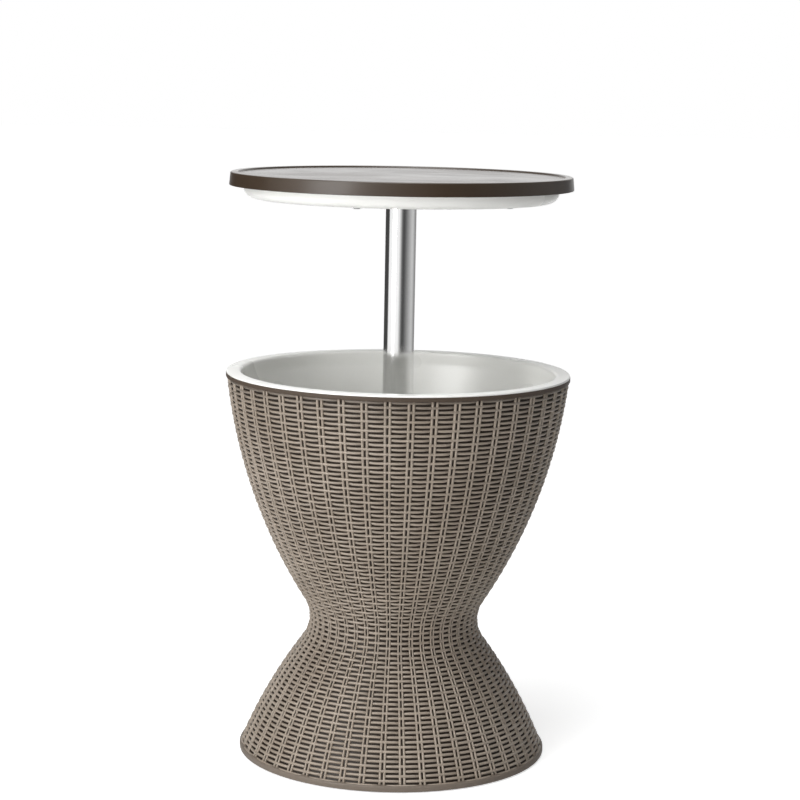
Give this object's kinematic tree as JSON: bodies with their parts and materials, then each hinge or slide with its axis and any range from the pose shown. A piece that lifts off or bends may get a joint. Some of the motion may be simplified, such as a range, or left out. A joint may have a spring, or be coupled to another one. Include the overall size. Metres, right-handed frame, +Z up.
{
  "type": "cooler table with lid",
  "caption": "Round drinks table on a woven-look hourglass body with a cooler tub inside; its top lifts on a twist-lock pole and closes the tub when lowered.",
  "frame": {"origin": "on the floor under the pole, at the centre of the base", "axes": "+Z up along the pole; front towards -Y; +X to the right seen from the front"},
  "size_m": [0.4949, 0.495, 0.8412],
  "materials": {
    "woven_resin": "satin moulded weave",
    "inner_resin": "plain moulded",
    "white_resin": "smooth white",
    "brown_resin": "fine grained satin",
    "bright_tube": "polished",
    "plain_tube": "drawn",
    "grey_nylon": "moulded",
    "black_nylon": "moulded",
    "bright_steel": "plated",
    "seal_rubber": "soft"
  },
  "bodies": {
    "stand": {"shell_upper": "woven_resin", "shell_lower": "woven_resin", "stakes_upper": "woven_resin", "stakes_lower": "woven_resin", "tub_cradle": "inner_resin", "waist_screws": "bright_steel", "base_plate": "inner_resin", "base_screws": "bright_steel", "foot_pads": "seal_rubber", "tub": "white_resin", "column_tube": "plain_tube", "guide_liner": "grey_nylon", "column_collar": "white_resin", "wiper_seal": "seal_rubber", "column_foot": "black_nylon", "column_bolts": "bright_steel", "column_nuts": "bright_steel", "drain_gasket": "seal_rubber", "drain_seat": "white_resin", "drain_nut": "grey_nylon", "drain_pipe": "grey_nylon"},
    "glide": {"glide_bush": "grey_nylon"},
    "table": {"pole_tube": "bright_tube", "pole_end_plug": "black_nylon", "plug_pin": "bright_steel", "glide_stop": "bright_steel", "pole_flange": "black_nylon", "pole_pin": "bright_steel", "flange_screws": "bright_steel", "lid_pan": "white_resin", "pan_screws": "bright_steel", "table_top": "brown_resin"},
    "plug": {"drain_plug": "white_resin", "drain_seal": "seal_rubber"}
  },
  "joints": [
    {"name": "pole_lift", "type": "slide", "parent": "stand", "child": "glide", "axis": [0, 0, 1], "range_m": [-0.2635, 0]},
    {"name": "top_twist", "type": "hinge", "parent": "glide", "child": "table", "pos_m": [0, 0, 0.401], "axis": [0, 0, 1], "range_deg": [0, 40]},
    {"name": "drain_pull", "type": "slide", "parent": "stand", "child": "plug", "axis": [0, 0, 1], "range_m": [0, 0.06]}
  ]
}
